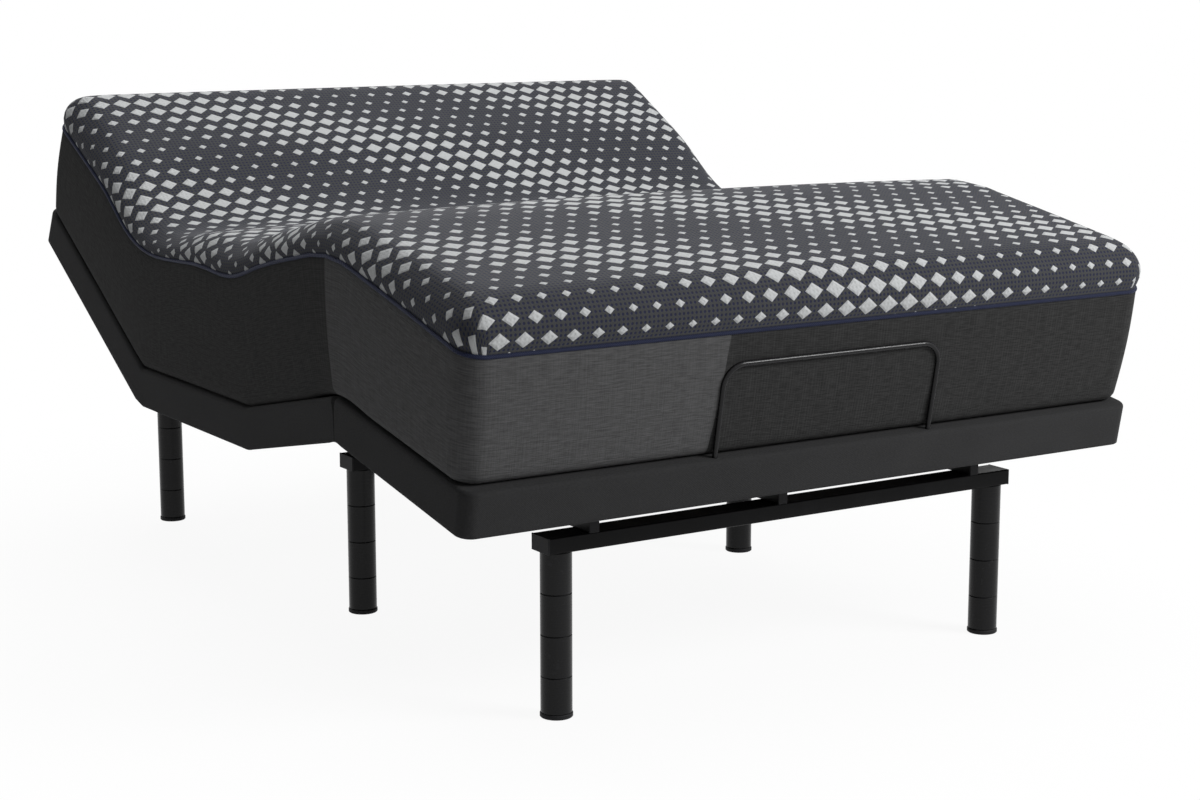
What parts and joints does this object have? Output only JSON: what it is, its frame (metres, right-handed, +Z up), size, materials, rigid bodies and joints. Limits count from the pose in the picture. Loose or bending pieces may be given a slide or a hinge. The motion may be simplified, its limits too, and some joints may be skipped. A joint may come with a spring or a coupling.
{
  "type": "adjustable bed base",
  "caption": "Adjustable bed base with a mattress: folding padded deck with raised head and knees, rails and cross-beams on screw-together legs, linear drives, retainer bar.",
  "frame": {"origin": "on the floor, under the middle of the bed's length and width in the raised pose", "axes": "+Y towards the head end, +Z up, +X to the right of someone looking from the foot end"},
  "size_m": [1.523, 2.0266, 1.0282],
  "materials": {
    "frame_black": "satin",
    "leg_black": "gloss",
    "plain_black": "matte",
    "zinc_steel": "satin",
    "drive_alloy": "satin",
    "bar_black": "gloss",
    "deck_board": "matte",
    "skirt_cloth": "matte",
    "mattress_cloth": "matte"
  },
  "bodies": {
    "frame": {"foot_beam": "frame_black", "mid_beam": "frame_black", "head_beam": "frame_black", "rail_left": "frame_black", "rail_center": "frame_black", "rail_right": "frame_black", "tube_end_caps": "plain_black", "leg_foot_left": "leg_black", "leg_foot_right": "leg_black", "leg_mid_left": "leg_black", "leg_mid_right": "leg_black", "leg_head_left": "leg_black", "leg_head_right": "leg_black", "leg_pads": "plain_black", "leg_bushes": "zinc_steel", "motor_crossbar": "frame_black", "drive_clevises": "frame_black", "frame_pivot_pins": "zinc_steel", "control_box": "plain_black", "seat_board": "deck_board", "seat_border": "deck_board", "seat_cover": "skirt_cloth", "head_hinge_seat_leaves": "zinc_steel", "thigh_hinge_seat_leaves": "zinc_steel", "deck_hinge_pins": "zinc_steel", "mattress_seat": "mattress_cloth"},
    "head": {"head_board": "deck_board", "head_border": "deck_board", "head_cover": "skirt_cloth", "head_hinge_leaves": "zinc_steel", "head_lift_bracket": "frame_black", "mattress_head": "mattress_cloth"},
    "thigh": {"thigh_board": "deck_board", "thigh_border": "deck_board", "thigh_cover": "skirt_cloth", "thigh_hinge_leaves": "zinc_steel", "thigh_lift_bracket": "frame_black", "knee_hinge_thigh_leaves": "zinc_steel", "knee_hinge_pins": "zinc_steel", "mattress_thigh": "mattress_cloth"},
    "foot": {"foot_board": "deck_board", "foot_border": "deck_board", "foot_cover": "skirt_cloth", "knee_hinge_leaves": "zinc_steel", "foot_link_brackets": "frame_black", "foot_link_pins": "zinc_steel", "retainer_bar": "bar_black", "retainer_sockets": "plain_black", "mattress_foot": "mattress_cloth"},
    "foot_links": {"foot_links": "frame_black"},
    "head_drive": {"head_drive_housing": "plain_black", "head_drive_tube": "drive_alloy"},
    "head_rod": {"head_drive_rod": "drive_alloy", "head_drive_rod_pin": "zinc_steel"},
    "leg_drive": {"leg_drive_housing": "plain_black", "leg_drive_tube": "drive_alloy"},
    "leg_rod": {"leg_drive_rod": "drive_alloy", "leg_drive_rod_pin": "zinc_steel"}
  },
  "joints": [
    {"name": "head_tilt", "type": "hinge", "parent": "frame", "child": "head", "pos_m": [0, 0.43729, 0.4568], "axis": [1, 0, 0], "range_deg": [-29.5, 30.5], "deforming": ["head_cover", "seat_cover", "mattress_head", "mattress_seat"]},
    {"name": "thigh_tilt", "type": "hinge", "parent": "frame", "child": "thigh", "pos_m": [0, -0.10771, 0.4568], "axis": [-1, 0, 0], "range_deg": [-12, 18], "deforming": ["thigh_cover", "mattress_thigh"]},
    {"name": "foot_fold", "type": "hinge", "parent": "thigh", "child": "foot", "pos_m": [0, -0.50416, 0.46746], "axis": [1, 0, 0], "range_deg": [-22.6, 33.9], "deforming": ["foot_cover", "mattress_foot"]},
    {"name": "foot_link_swing", "type": "hinge", "parent": "frame", "child": "foot_links", "pos_m": [0, -0.20471, 0.353], "axis": [-1, 0, 0], "range_deg": [-13.2, 19.8]},
    {"name": "head_drive_swivel", "type": "hinge", "parent": "frame", "child": "head_drive", "pos_m": [0.2, 0.03029, 0.28], "axis": [1, 0, 0], "range_deg": [-6.3, 6.5]},
    {"name": "head_rod_slide", "type": "slide", "parent": "head_drive", "child": "head_rod", "axis": [0, 0.9874, 0.158], "range_m": [-0.057, 0.059]},
    {"name": "leg_drive_swivel", "type": "hinge", "parent": "frame", "child": "leg_drive", "pos_m": [-0.23, 0.26029, 0.245], "axis": [-1, 0, 0], "range_deg": [-3, 4.4]},
    {"name": "leg_rod_slide", "type": "slide", "parent": "leg_drive", "child": "leg_rod", "axis": [0, -0.9998, 0.0192], "range_m": [-0.0415, 0.0625]}
  ],
  "couplings": [
    {"joint": "foot_fold", "follows": "thigh_tilt", "ratio": 1.875},
    {"joint": "foot_link_swing", "follows": "thigh_tilt", "ratio": 1.09},
    {"joint": "leg_drive_swivel", "follows": "thigh_tilt", "ratio": 0.237},
    {"joint": "leg_rod_slide", "follows": "thigh_tilt", "m_per_rad": 0.19651},
    {"joint": "head_drive_swivel", "follows": "head_tilt", "ratio": 0.209},
    {"joint": "head_rod_slide", "follows": "head_tilt", "m_per_rad": 0.10976}
  ]
}
